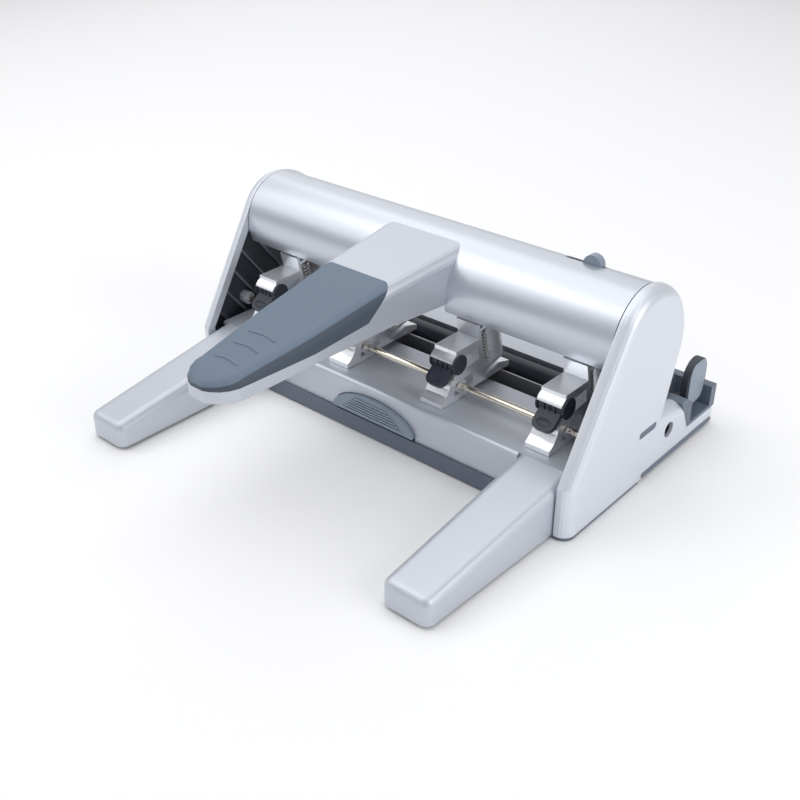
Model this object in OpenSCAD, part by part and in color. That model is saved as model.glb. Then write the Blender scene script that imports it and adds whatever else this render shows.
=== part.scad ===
// Desk punch with four adjustable punching heads, worked by one long hand lever.
// X runs along the row of heads, -Y is the side of the hand lever, +Z is up.
// The origin lies on the desk under the middle of the bounding box.

/* [Housing] */
// Distance from the middle plane to the seam between a side cover and the barrel
seam_x = 148.4; // [146:0.1:156]
// Thickness of a side cover, from its seam to its outer face
side_t = 9.4; // [9:0.1:12]
// Wall of the side covers
side_wall = 2.4; // [1.6:0.1:3]
// Depth of the soft rounding between a side cover's rim and its outer face
side_round = 8; // [5:0.5:8]
// Y of the front edge of the side covers
side_front_y = -25; // [-27:0.5:-22]
// Height of the shoulder where the front edge starts to lean back
side_shoulder_z = 35.3; // [33:0.1:37]
// Radius of the rear shoulder of the side covers
side_rear_r = 43; // [40:0.5:44]
// Height at which the side covers start
side_low_z = 2.6; // [2.2:0.1:4]
// Y of the rear face of the body
rear_y = 155.4; // [153:0.2:158]
// Radius of the round hole low in each side cover
side_hole_r = 5.3; // [4:0.1:6]
// Y of the round hole
side_hole_y = 87.3; // [84:0.1:90]
// Height of the round hole
side_hole_z = 24.6; // [20:0.1:26]

/* [Table and arms] */
// Height of the table in front of the heads
table_z = 37; // [36.6:0.1:38]
// Thickness of the table plate
table_t = 2.5; // [2:0.1:3]
// Y of the front edge of the table
table_front_y = -13; // [-15:0.5:-11]
// Y of the rear edge of the table, at the chip slot
table_rear_y = 47; // [44:0.5:48]
// Lowest edge of the front strip between the arms
fascia_low_z = 12.7; // [11:0.1:14]
// Distance from the middle plane to the inner side of an arm
arm_in_x = 111.4; // [108:0.1:116]
// Distance from the middle plane to the outer side of an arm at its tip
arm_out_x = 144.1; // [140:0.1:147]
// Y of the arm tips
arm_tip_y = -132; // [-140:1:-120]
// Height of the arms at their tips
arm_tip_z = 19.8; // [17:0.1:23]
// Radius of the soft edges of the arms
arm_round = 6; // [4:0.5:7]
// Wall of the arms
arm_wall = 2.4; // [1.8:0.1:3]

/* [Barrel and lever] */
// Y of the axle and of the barrel
axle_y = 50.7; // [50:0.1:51.4]
// Height of the axle and of the barrel
axle_z = 102; // [101.6:0.1:103]
// Outer radius of the barrel
barrel_r = 31; // [31:0.1:32]
// Wall of the barrel
barrel_wall = 2.5; // [2:0.1:2.7]
// Angle of the barrel's lower front edge below level
barrel_front_a = 25; // [10:1:25]
// Angle of the barrel's lower rear edge below level
barrel_rear_a = 12; // [0:1:30]
// Radius of the axle
axle_r = 5; // [4:0.1:6]
// Y of the tip of the lever
lever_tip_y = -152; // [-170:1:-150]
// Half width of the lever where its round tip starts
lever_tip_w = 19.5; // [16:0.5:22]
// Half width that the lever gains on its way to the barrel
lever_gain_w = 10.7; // [8:0.1:13]
// Height of the lever's top at its tip
lever_tip_z = 106.5; // [104:0.5:109]
// Height of the lever's top at the barrel
lever_root_z = 130.5; // [128:0.5:132]
// Height of the lever's lower edge where it is highest
lever_low_z = 97; // [94:0.1:98]
// Thickness of the soft grip
grip_t = 3; // [2:0.1:4]

/* [Heads] */
// Distance between neighbouring heads
head_pitch = 80; // [76:0.5:82]
// Width of a head
head_w = 17; // [15:0.5:19]
// Lean of the punching axis towards the lever side, in degrees
head_lean = 13; // [11:0.5:13]
// Y of the punching axis at its foot
pin_y = 50.5; // [50:0.1:51]
// Height of the foot of the punching axis
pin_z = 46; // [46:0.1:46.5]
// Radius of a punch pin
pin_r = 2.6; // [2.5:0.05:2.6]
// Distance from the paper stop to the punching axis
hole_margin = 11.5; // [11:0.1:12]
// Height of the paper throat
throat_h = 3; // [2.6:0.1:3]
// Radius of the rod that the heads slide along
rod_r = 2.5; // [2:0.1:2.6]
// Y of the rod
rod_y = 16.3; // [16.1:0.1:18]
// Height of the rod
rod_z = 45.5; // [44.8:0.1:46]

/* [Springs] */
// Wire thickness of a pin's spring
spring_wire = 0.9; // [0.8:0.1:1]
// Middle radius of a pin's spring
spring_r = 3.4; // [3.4:0.1:3.8]
// Turns of a pin's spring
spring_turns = 8; // [5:1:9]

/* [Chip tray] */
// Half width of the chip tray's front
tray_half_x = 110.8; // [104:0.1:110.9]
// Thickness of the chip tray's walls
tray_t = 2; // [1.6:0.1:2.4]
// Height of the chip tray's side walls
tray_h = 9; // [7:0.5:9]
// Half width of the thumb pad
pad_half_x = 34.5; // [28:0.5:38]
// Height of the top of the thumb pad
pad_top_z = 30; // [26:0.5:31]
// Height of the lower edge of the thumb pad
pad_low_z = 14.8; // [13.8:0.1:17]
// Ribs on the thumb pad
pad_ribs = 6; // [3:1:7]

/* [Side guide] */
// Y of the middle of the side guide's paddle
paddle_y = 131; // [130:0.5:132]
// Half width of the paddle
paddle_half_y = 12.5; // [10:0.5:14]
// Height of the top of the paddle
paddle_top_z = 55; // [48:0.5:62]

/* [Hidden] */
$fn = 64;
over = 1;
gap = 0.3;
fit = 0.05;
leaf = 0.01;
side_x = seam_x + side_t;
fine_fn = 32;

// Colours, as the photograph shows them
silver = [0.78, 0.79, 0.82];
bright = [0.88, 0.89, 0.90];
slate = [0.24, 0.27, 0.33];
slate_light = [0.52, 0.56, 0.62];
dark = [0.16, 0.17, 0.20];
steel = [0.62, 0.62, 0.64];
brass = [0.76, 0.72, 0.60];
rubber = [0.12, 0.12, 0.13];

// Draws a flat Y-Z outline and carries it along X from x0 to x1
module along_x(x0, x1) {
    translate([x0, 0, 0])
        rotate([90, 0, 90])
            linear_extrude(x1 - x0)
                children();
}

// A rod or bore along X
module rod_x(y, z, r, x0, x1) {
    translate([x0, y, z])
        rotate([0, 90, 0])
            cylinder(r = r, h = x1 - x0);
}

// Closed skin through a row of rings that all have the same number of points
// Both ends close as a fan about the points mid0 and mid1
module loft(rings, mid0, mid1) {
    n = len(rings[0]);
    m = len(rings);
    polyhedron(
        points = concat([for (r = rings, q = r) q], [mid0, mid1]),
        faces = concat(
            [for (j = [0:n - 1]) [n * m, (j + 1) % n, j]],
            [
                for (k = [0:m - 2], j = [0:n - 1])
                    let (a = k * n + j, b = k * n + (j + 1) % n)
                    [a, b, b + n]
            ],
            [
                for (k = [0:m - 2], j = [0:n - 1])
                    let (a = k * n + j, b = k * n + (j + 1) % n)
                    [a, b + n, a + n]
            ],
            [for (j = [0:n - 1]) [n * m + 1, (m - 1) * n + j, (m - 1) * n + (j + 1) % n]]
        ),
        convexity = 10
    );
}

// Points of an arc about c, from angle a0 to a1
function arc(c, r, a0, a1, n) =
    [for (i = [0:n]) let (a = a0 + (a1 - a0) * i / n) c + r * [cos(a), sin(a)]];

// Angle, about c, of the point where a line from p touches the circle of radius r
function touch_a(p, c, r, turn) =
    let (d = p - c)
    atan2(d[1], d[0]) + turn * acos(r / norm(d));

// Side covers
arc_steps = 14;
cover_rear_top_z = 41;
cover_rear_y = 79;
rear_c = [axle_y, axle_z + barrel_r - side_rear_r];
axle_c = [axle_y, axle_z];

// The low rear part falls gently to a rounded rear corner
low_slope = 0.187;
low_corner_r = 9;
low_steps = 5;
function low_top_z(y) = cover_rear_top_z - low_slope * (y - cover_rear_y);
low_rear_z = low_top_z(rear_y - low_corner_r) - low_corner_r;

// Outline of a side cover, drawn in by ins
function cover_pts(ins) =
    let (
        shoulder = [side_front_y + ins, side_shoulder_z],
        foot = [cover_rear_y - ins, cover_rear_top_z - ins],
        front_a = touch_a(shoulder, axle_c, barrel_r - ins, -1),
        rear_a = touch_a(foot, rear_c, side_rear_r - ins, 1)
    )
    concat(
        [[side_front_y + ins, 0], shoulder],
        arc(axle_c, barrel_r - ins, front_a < 0 ? front_a + 360 : front_a, 90, arc_steps),
        arc(rear_c, side_rear_r - ins, 90 + (rear_a - 90) / arc_steps, rear_a, arc_steps - 1),
        [foot],
        arc([rear_y - low_corner_r, low_rear_z], low_corner_r - ins, 90 - atan(low_slope), 0, low_steps),
        [[rear_y - ins, 0]]
    );

// The rounding towards the outer face goes through a quarter turn in a few steps
round_steps = 6;
function side_ring(ins, x) = [for (q = cover_pts(ins)) [x, q[0], q[1]]];
side_mid_y = 60;
side_mid_z = 28;
module rounded_side() {
    loft(
        concat(
            [side_ring(0, seam_x)],
            [
                for (i = [0:round_steps])
                    let (a = 90 * i / round_steps)
                    side_ring(side_round * (1 - cos(a)), side_x - side_round * (1 - sin(a)))
            ]
        ),
        [seam_x, side_mid_y, side_mid_z],
        [side_x, side_mid_y, side_mid_z]
    );
}

// Notch for the side guide, at the rear corner of the right side
notch_y = 101.3;
notch_low_y = 113.4;
notch_z = 13.8;
notch_end_y = 151.4;
notch_high = 60;
module notch_outline(grow) {
    polygon([
        [notch_y - grow, low_top_z(notch_y) + over],
        [notch_low_y - grow, notch_z - grow],
        [rear_y + over, notch_z - grow],
        [rear_y + over, notch_high],
        [notch_y - grow, notch_high]
    ]);
}

// Ribs inside a side cover lean like its front edge
cover_rib_t = 1.8;
cover_rib_step = 24;
cover_rib_a = 52;
cover_rib_count = 9;
cover_rib_low = 14;
boss_r = 11;
boss_back = 0.6;
boss_in_x = seam_x + boss_back;
rod_boss_r = 4.6;
rail_y = 59.2;
module side_cover(with_notch) {
    difference() {
        union() {
            difference() {
                rounded_side();
                along_x(seam_x - over, side_x - side_wall)
                    polygon(cover_pts(side_wall + side_round / 2));
            }
            // Slanting ribs seen from the head side
            intersection() {
                along_x(seam_x + side_wall, side_x - side_wall / 2)
                    polygon(cover_pts(side_wall + side_round / 4));
                for (i = [0:cover_rib_count])
                    translate([0, side_front_y, cover_rib_low + i * cover_rib_step])
                        rotate([-cover_rib_a, 0, 0])
                            translate([seam_x, -cover_rib_step, 0])
                                cube([side_t, cover_rib_step * cover_rib_count, cover_rib_t]);
            }
            rod_x(axle_y, axle_z, boss_r, boss_in_x, side_x - side_wall / 2);
            rod_x(rod_y, rod_z, rod_boss_r, boss_in_x, side_x - side_wall / 2);
        }
        translate([seam_x - over, side_front_y - over, -over])
            cube([side_t + 2 * over, rear_y - side_front_y + 2 * over, side_low_z + over]);
        rod_x(axle_y, axle_z, bush_r, seam_x - over, side_x - side_wall);
        rod_x(rod_y, rod_z, rod_r + fit, seam_x - over, side_x - side_wall);
        rod_x(side_hole_y, side_hole_z, side_hole_r, seam_x - over, side_x + over);
        window_shape(0, window_deep);
        trim_shape(0, over);
        if (with_notch)
            along_x(seam_x - over, side_x + over) notch_outline(0);
    }
}

module left_side_cover() {
    color(silver) mirror([1, 0, 0]) side_cover(false);
}

module right_side_cover() {
    color(silver) side_cover(true);
}

// Long grey window let into each side cover
window_y0 = 48.6;
window_y1 = 68.6;
window_z = 37.4;
window_r = 2.4;
window_deep = 1.2;
module window_shape(x_in, deep) {
    for (y = [window_y0 + window_r, window_y1 - window_r])
        rod_x(y, window_z, window_r, side_x - deep, side_x + (x_in == 0 ? over : -x_in));
    translate([side_x - deep, window_y0 + window_r, window_z - window_r])
        cube([deep + (x_in == 0 ? over : -x_in), window_y1 - window_y0 - 2 * window_r, 2 * window_r]);
}
window_sink = 0.4;
module side_windows() {
    color(slate_light)
        for (m = [0, 1])
            mirror([m, 0, 0]) window_shape(window_sink, window_deep);
}

// A grey skirt under the front of each side cover, and a grey strip let in behind it
trim_r = 1.7;
trim_deep = 1.4;
trim_lift = 2.04;
trim_rear_z = side_low_z + trim_lift;
trim_rear_y = [59, 147];
skirt_z0 = 0.4;
skirt_end_y = 55;
skirt_in = 0.4;
module skirt() {
    r = side_round - skirt_in;
    x1 = side_x - skirt_in;
    y0 = side_front_y + skirt_in;
    intersection() {
        translate([x1 - r, y0 + r, skirt_z0])
            cylinder(r = r, h = side_low_z - skirt_z0);
        translate([x1 - r, y0, skirt_z0])
            cube([r, r, side_low_z - skirt_z0]);
    }
    translate([seam_x, y0, skirt_z0])
        cube([x1 - r - seam_x, skirt_end_y - y0, side_low_z - skirt_z0]);
    translate([seam_x, y0 + r, skirt_z0])
        cube([x1 - seam_x, skirt_end_y - r - y0, side_low_z - skirt_z0]);
}
module trim_shape(back, proud) {
    for (y = trim_rear_y)
        rod_x(y, trim_rear_z, trim_r, side_x - trim_deep + back, side_x + proud);
    translate([side_x - trim_deep + back, trim_rear_y[0], trim_rear_z - trim_r])
        cube([trim_deep - back + proud, trim_rear_y[1] - trim_rear_y[0], 2 * trim_r]);
}
trim_proud = 0.4;
module side_trim_strips() {
    color(slate_light)
        for (m = [0, 1])
            mirror([m, 0, 0]) {
                trim_shape(0, trim_proud);
                skirt();
            }
}

// Bottom plate and what stands on it
plate_z0 = 1.6;
tray_proud = 1.6;
plate_t = 1.4;
plate_edge = 3;
plate_corner_r = 6;
plate_front_y = table_front_y - tray_proud + tray_t + gap;
plate_rear_y = rear_y - plate_edge;
plate_half_x = seam_x - gap;
module bottom_plate() {
    color(slate)
        difference() {
            union() {
                translate([-plate_half_x, plate_front_y + plate_corner_r, plate_z0])
                    cube([2 * plate_half_x, plate_rear_y - plate_front_y - 2 * plate_corner_r, plate_t]);
                translate([-plate_half_x + plate_corner_r, plate_front_y, plate_z0])
                    cube([2 * (plate_half_x - plate_corner_r), plate_rear_y - plate_front_y, plate_t]);
                for (x = [-1, 1], y = [plate_front_y + plate_corner_r, plate_rear_y - plate_corner_r])
                    translate([x * (plate_half_x - plate_corner_r), y, plate_z0])
                        cylinder(r = plate_corner_r, h = plate_t);
            }
            for (p = screw_spots)
                translate([p[0], p[1], plate_z0 - over])
                    cylinder(r = screw_r + fit, h = plate_t + 2 * over);
        }
}

screw_r = 1.6;
screw_head_r = 3;
screw_head_h = 1.1;
screw_reach = 9;
frame_in_x = 139;
frame_t = 8;
screw_x = frame_in_x + frame_t / 2;
screw_rows = [10, 70, 96];
screw_spots = [for (x = [-screw_x, screw_x], y = screw_rows) [x, y]];
module bottom_screws() {
    color(steel)
        for (p = screw_spots)
            translate([p[0], p[1], plate_z0]) {
                translate([0, 0, -screw_head_h]) cylinder(r = screw_head_r, h = screw_head_h);
                cylinder(r = screw_r, h = screw_reach);
            }
}

foot_r = 7;
foot_z1 = 2.2;
arm_foot_back = 17;
arm_foot_y = arm_tip_y + arm_foot_back;
arm_foot_x = (arm_in_x + arm_out_x) / 2;
rear_foot_x = 128;
rear_foot_y = 138;
front_foot_x = 96;
front_foot_y = 2;
module rubber_feet() {
    color(rubber)
        for (x = [-1, 1]) {
            translate([x * arm_foot_x, arm_foot_y, 0]) cylinder(r = foot_r, h = foot_z1);
            translate([x * rear_foot_x, rear_foot_y, 0]) cylinder(r = foot_r, h = plate_z0);
            translate([x * front_foot_x, front_foot_y, 0]) cylinder(r = foot_r, h = plate_z0);
        }
}

// Inner frame: two long walls, a rear wall and two cross bars above the chip tray
frame_wall = 2.6;
frame_front_y = -5;
frame_z0 = plate_z0 + plate_t;
frame_top_z = table_z - table_t;
deck_y = 88;
deck_t = 2.4;
function deck_z(y) = low_top_z(y) - low_slope;
frame_rear_y = rear_y - 4 * deck_t;
cross_y = [34, 92];
cross_w = 8;
cross_h = 5;
module frame_wall_outline() {
    polygon([
        [frame_front_y, frame_z0],
        [frame_front_y, frame_top_z],
        [table_rear_y, frame_top_z],
        [table_rear_y, ledge_low_z],
        [deck_y + deck_t, ledge_low_z],
        [deck_y + deck_t, deck_z(deck_y + deck_t) - deck_t],
        [frame_rear_y, deck_z(frame_rear_y) - deck_t],
        [frame_rear_y, frame_z0]
    ]);
}
module base_frame() {
    color(dark)
        difference() {
            union() {
                for (m = [0, 1])
                    mirror([m, 0, 0]) {
                        along_x(frame_in_x, frame_in_x + frame_wall) frame_wall_outline();
                        for (p = [for (s = screw_spots) if (s[0] > 0) s])
                            translate([p[0], p[1], frame_z0])
                                cylinder(r = frame_t / 2, h = ledge_low_z - frame_z0);
                    }
                for (y = cross_y)
                    translate([-frame_in_x - over, y, ledge_low_z - cross_h])
                        cube([2 * (frame_in_x + over), cross_w, cross_h]);
                translate([-frame_in_x - over, frame_rear_y - frame_wall, frame_z0])
                    cube([2 * (frame_in_x + over), frame_wall, notch_z - frame_z0 - guide_floor_t]);
            }
            for (p = screw_spots)
                translate([p[0], p[1], frame_z0 - over])
                    cylinder(r = screw_r, h = screw_reach + over);
            along_x(frame_in_x - over, frame_in_x + frame_t) notch_outline(guide_floor_t);
        }
}

// Silver table, front strip and the two arms
root_out_x = seam_x - gap;
pad_gap = 0.6;
module arm_solid(ins, z0) {
    r = arm_round - ins;
    hull() {
        for (x = [arm_in_x + arm_round, arm_out_x - arm_round]) {
            translate([x, arm_tip_y + arm_round, arm_tip_z - arm_round]) sphere(r = r, $fn = fine_fn);
            translate([x, arm_tip_y + arm_round, z0]) cylinder(r = r, h = leaf, $fn = fine_fn);
        }
        for (x = [arm_in_x + arm_round, root_out_x - arm_round])
            translate([x, table_front_y + arm_round, 0]) {
                translate([0, 0, table_z - arm_round]) sphere(r = r, $fn = fine_fn);
                translate([0, 0, z0]) cylinder(r = r, h = leaf, $fn = fine_fn);
            }
    }
}
arm_foot_boss_z = 16.5;
module table_cover() {
    color(silver)
        difference() {
            union() {
                // Table plate with its soft front edge
                translate([-seam_x, table_front_y + fascia_t, table_z - table_t])
                    cube([2 * seam_x, table_rear_y - table_front_y - fascia_t, table_t]);
                rod_x(table_front_y + fascia_t, table_z - fascia_t, fascia_t, -arm_in_x - over, arm_in_x + over);
                translate([-arm_in_x - over, table_front_y, fascia_low_z])
                    cube([2 * (arm_in_x + over), fascia_t, table_z - fascia_t - fascia_low_z]);
                for (m = [0, 1])
                    mirror([m, 0, 0]) {
                        difference() {
                            arm_solid(0, side_low_z);
                            arm_solid(arm_wall, -over);
                        }
                        translate([arm_foot_x, arm_foot_y, foot_z1])
                            cylinder(r = foot_r + arm_wall / 2, h = arm_foot_boss_z);
                    }
            }
            // Opening for the thumb pad
            translate([0, table_front_y - over, pad_low_z])
                scale([pad_half_x + pad_gap, 1, pad_top_z - pad_low_z + pad_gap])
                    rotate([-90, 0, 0])
                        cylinder(r = 1, h = fascia_t + 2 * over);
            // Room for the bottom plate between the arms
            translate([-seam_x - over, plate_front_y - gap, -over])
                cube([2 * (seam_x + over), rear_y, plate_z0 + plate_t + over]);
            // Room behind the arms for the side covers and the inner frame
            translate([-seam_x - over, table_front_y + arm_round + over, -over])
                cube([2 * (seam_x + over), rear_y, table_z - table_t + over]);
        }
}
fascia_t = 2.5;

// Sloping rear deck
module rear_deck() {
    color(silver)
        difference() {
            along_x(-seam_x, seam_x)
                polygon([
                    [deck_y, deck_z(deck_y)],
                    [rear_y - low_corner_r, deck_z(rear_y - low_corner_r)],
                    [rear_y - low_corner_r / 3, low_rear_z + low_corner_r / 2],
                    [rear_y, low_rear_z],
                    [rear_y, frame_z0],
                    [rear_y - deck_t, frame_z0],
                    [rear_y - deck_t, low_rear_z - low_corner_r / 6],
                    [rear_y - low_corner_r / 2, low_rear_z + low_corner_r / 3],
                    [rear_y - low_corner_r, deck_z(rear_y - low_corner_r) - deck_t],
                    [deck_y + deck_t, deck_z(deck_y + deck_t) - deck_t],
                    [deck_y + deck_t, ledge_low_z],
                    [deck_y, ledge_low_z]
                ]);
            along_x(housing_x - gap, seam_x + over) notch_outline(0);
        }
}

// Bars and rails across the body
module axle() {
    color(steel) rod_x(axle_y, axle_z, axle_r, -side_x + side_wall, side_x - side_wall);
}
bush_r = 8;
module axle_bushes() {
    color(brass)
        for (m = [0, 1])
            mirror([m, 0, 0])
                difference() {
                    rod_x(axle_y, axle_z, bush_r, seam_x, side_x - side_wall);
                    rod_x(axle_y, axle_z, axle_r, seam_x - over, side_x);
                }
}
module guide_rod() {
    color(brass) rod_x(rod_y, rod_z, rod_r, -side_x + side_wall, side_x - side_wall);
}
rail_t = 1.5;
rail_top_z = 39.3;
ledge_y = 78;
ledge_r = 8;
ledge_top_z = 40;
ledge_low_z = 28;
rail_foot = 5;
module index_rail() {
    color(steel)
        union() {
            translate([-seam_x, rail_y - rail_t / 2, ledge_low_z])
                cube([2 * seam_x, rail_t, rail_top_z - ledge_low_z]);
            translate([-seam_x, rail_y - rail_t / 2, ledge_low_z])
                cube([2 * seam_x, rail_foot, rail_t]);
        }
}
module paper_ledge() {
    color(slate)
        difference() {
            union() {
                rod_x(ledge_y, ledge_top_z - ledge_r, ledge_r, -seam_x, seam_x);
                translate([-seam_x, ledge_y - ledge_r, ledge_low_z])
                    cube([2 * seam_x, 2 * ledge_r, ledge_top_z - ledge_r - ledge_low_z]);
            }
            translate([-seam_x - over, ledge_y - 2 * ledge_r, 0])
                cube([2 * (seam_x + over), 4 * ledge_r, ledge_low_z]);
        }
}

// Barrel: a hood open below, with end plates that turn on the axle
plate_x = [4, 144.6];
web_t = 3;
bar_r = 3;
bar_y = 38.2;
bar_z = 99.1;
mouth_half_x = 29;
mouth_z = 95;
hood_x = seam_x - 2 * gap;
module sector_yz(r, a0, a1) {
    polygon(concat([axle_c], arc(axle_c, r, a0, a1, arc_steps)));
}
module lever_barrel() {
    color(silver)
        difference() {
            union() {
                difference() {
                    rod_x(axle_y, axle_z, barrel_r, -hood_x, hood_x);
                    rod_x(axle_y, axle_z, barrel_r - barrel_wall, -hood_x - over, hood_x + over);
                    along_x(-hood_x - over, hood_x + over)
                        sector_yz(3 * barrel_r, 180 + barrel_front_a, 360 - barrel_rear_a);
                }
                for (x = plate_x, m = [0, 1])
                    mirror([m, 0, 0])
                        difference() {
                            rod_x(axle_y, axle_z, barrel_r - barrel_wall / 2, x - web_t, x);
                            along_x(x - web_t - over, x + over)
                                translate([bar_y - 2 * barrel_r, -over])
                                    square([4 * barrel_r, axle_z - 2 * axle_r + over]);
                        }
            }
            rod_x(axle_y, axle_z, axle_r + fit, -side_x, side_x);
            rod_x(bar_y, bar_z, bar_r, -side_x, side_x);
            translate([-mouth_half_x, 0, mouth_z - barrel_r])
                cube([2 * mouth_half_x, axle_y - barrel_r / 2, barrel_r]);
            translate([lock_x0 - gap, lock_y0, axle_z + barrel_r / 2])
                cube([lock_slot + 2 * gap, lock_deep, barrel_r]);
        }
}
module drive_bar() {
    color(steel) rod_x(bar_y, bar_z, bar_r, -plate_x[1], plate_x[1]);
}

// Sliding lock in a slot behind the crown of the barrel
lock_x0 = 91.3;
lock_slot = 26;
lock_y0 = 56.4;
lock_deep = 6;
lock_w = 12;
lock_rise = 5;
lock_top = axle_z + barrel_r + lock_rise;
lock_travel = 12;
lock_foot_t = 2;
lock_foot = 3;
module lock_slider() {
    foot_top = axle_z + sqrt(pow(barrel_r - barrel_wall, 2) - pow(lock_y0 + lock_deep + lock_foot - axle_y, 2)) - gap;
    color(slate_light)
        union() {
            translate([lock_x0 + lock_travel, lock_y0 + gap, foot_top - lock_foot_t])
                cube([lock_w, lock_deep - 2 * gap, lock_top - lock_w / 2 - foot_top + lock_foot_t]);
            translate([lock_x0 + lock_travel + lock_w / 2, lock_y0 + gap, lock_top - lock_w / 2])
                rotate([-90, 0, 0])
                    cylinder(r = lock_w / 2, h = lock_deep - 2 * gap);
            translate([lock_x0 + lock_travel - lock_foot, lock_y0 - lock_foot, foot_top - lock_foot_t])
                cube([lock_w + 2 * lock_foot, lock_deep + 2 * lock_foot, lock_foot_t]);
        }
}

// Hand lever: three tapering lengths with soft upper edges
lever_edge_r = 7;
grip_rear_y = -25;
bend_y = -87;
root_y = 42;
lever_wall = 2.4;
grip_root_z = 123.7;
bend_z = 113.5;
bend_low = 96;
tip_low = 92;
root_low = mouth_z;
root_flare = 2.9;
neck_waist = 2;
lever_stations = [
    [root_y, lever_tip_w + lever_gain_w + root_flare, lever_root_z, root_low],
    [grip_rear_y, lever_tip_w + lever_gain_w - neck_waist, grip_root_z, lever_low_z],
    [bend_y, lever_tip_w + lever_gain_w / 2, bend_z, bend_low],
    [lever_tip_y + lever_tip_w, lever_tip_w, lever_tip_z, tip_low]
];
edge_share = 0.9;
tip_steps = 5;
tip_end_a = 14;
corner_steps = 5;
tip_sink = 5;
tip_end_mid = 96;
function lever_ring(y, w, top, low, ins) =
    let (r = min(lever_edge_r - ins, edge_share * w))
    [
        for (q = concat(
            [[-w, low]],
            arc([-w + r, top - ins - r], r, 180, 90, corner_steps),
            arc([w - r, top - ins - r], r, 90, 0, corner_steps),
            [[w, low]]
        )) [q[0], y, q[1]]
    ];
function lever_rings(ins, drop) = concat(
    [
        for (s = lever_stations)
            lever_ring(s[0], s[1] - ins, s[2], s[3] - drop, ins)
    ],
    [
        for (i = [1:tip_steps])
            let (
                t = lever_stations[3],
                a = 90 + (tip_end_a - 90) * i / tip_steps
            )
            lever_ring(
                t[0] - (t[1] - ins) * cos(a),
                (t[1] - ins) * sin(a),
                t[2] - tip_sink * (1 - sin(a)),
                t[3] - drop,
                ins
            )
    ]
);
module lever_body(ins, drop) {
    tip_end = lever_stations[3];
    loft(
        lever_rings(ins, drop),
        [0, root_y, axle_z],
        [0, tip_end[0] - (tip_end[1] - ins) * cos(tip_end_a), tip_end_mid]
    );
}
grip_low_root_z = 106;
grip_low_root_y = -46;
grip_low_tip_z = 99;
module grip_zone(x_half) {
    along_x(-x_half, x_half)
        polygon([
            [grip_rear_y, lever_root_z + over],
            [grip_rear_y, grip_root_z],
            [grip_low_root_y, grip_low_root_z],
            [bend_y, grip_low_tip_z + grip_t],
            [lever_tip_y - over, grip_low_tip_z],
            [lever_tip_y - over, lever_root_z + over]
        ]);
}
module lever_handle() {
    color(silver)
        difference() {
            lever_body(0, 0);
            lever_body(grip_t + lever_wall, over);
            difference() {
                grip_zone(2 * barrel_r);
                lever_body(grip_t, over);
            }
            rod_x(axle_y, axle_z, barrel_r, -hood_x, hood_x);
        }
}
module lever_grip() {
    color(slate_light)
        difference() {
            intersection() {
                lever_body(0, 0);
                grip_zone(2 * barrel_r);
            }
            lever_body(grip_t, over);
        }
}
liner_z = 99;
liner_t = 1.6;
module lever_liner() {
    color(dark)
        difference() {
            intersection() {
                lever_body(grip_t + lever_wall, over);
                translate([-barrel_r, lever_tip_y, liner_z])
                    cube([2 * barrel_r, axle_y - lever_tip_y, liner_t]);
            }
            rod_x(axle_y, axle_z, barrel_r, -hood_x, hood_x);
        }
}

// Heads. The bracket and the pin stand in a frame that leans by head_lean
head_x = [-1.5 * head_pitch, -0.5 * head_pitch, 0.5 * head_pitch, 1.5 * head_pitch];
bracket_t = 2.2;
bracket_rear = 8.1;
jaw_sink = 0.5;
bracket_low = throat_h - jaw_sink;
bracket_front_top = 40.4;
bracket_rear_top = 24;
bracket_round = 3;
flange_t0 = 34;
flange_back = 5;
hub_y = 12.3;
hub_z = 62.6;
hub_r = 5.5;
hub_ring = 7.7;
foot_y = -4;
jaw_end_y = 67;
jaw_low_z = 40;
die_r = pin_r + fit;

// Turns what stands upright at the origin into the leaning frame of a head
module leaning() {
    translate([0, pin_y, pin_z])
        rotate([head_lean, 0, 0])
            children();
}
function lean_pt(s, t) = [
    pin_y + s * cos(head_lean) - t * sin(head_lean),
    pin_z + s * sin(head_lean) + t * cos(head_lean)
];
ramp_y = [6.5, 4.5, 3.5, 1, -2.5, foot_y];
ramp_z = [55, 51.5, 48, 44, 41.3, 40.5];
ramp_pts = [for (i = [0:len(ramp_y) - 1]) [ramp_y[i], ramp_z[i]]];
web_y0 = 9;
web_y1 = 11;
web_y2 = 14;
web_up = 1;
web_down = 2;
foot_rear_y = 24;
foot_step_y = 26.5;
jaw_tip_z = 43.5;
jaw_flat_s = 5;
wall_join_t = 27;
shelf_rear_y = 32.5;
shelf_front_y = 9.5;
shelf_z = 72.3;
shelf_low_z = 68.4;
cavity_y = [19.5, 31.5, 33.4, 21];
cavity_z = [66, 67.3, 58.5, 57];
window_y = [10, 28, 28, 9];
window_zs = [49.8, 51.5, 41.2, 41];
hub_open_a0 = 158;
hub_open_a1 = 242;
function head_outline() = concat(
    [
        [foot_y, table_z + gap],
        [foot_rear_y, table_z + gap],
        [foot_step_y, jaw_low_z],
        [jaw_end_y, jaw_low_z],
        [jaw_end_y, jaw_tip_z],
        lean_pt(jaw_flat_s, -jaw_sink),
        lean_pt(-hole_margin, -jaw_sink),
        lean_pt(-hole_margin, bracket_low + bracket_t),
        lean_pt(-hole_margin + bracket_t, bracket_low + bracket_t),
        lean_pt(-hole_margin + bracket_t, wall_join_t),
        [shelf_rear_y, shelf_z],
        [shelf_front_y, shelf_z],
        [shelf_front_y, shelf_low_z]
    ],
    ramp_pts
);
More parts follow.
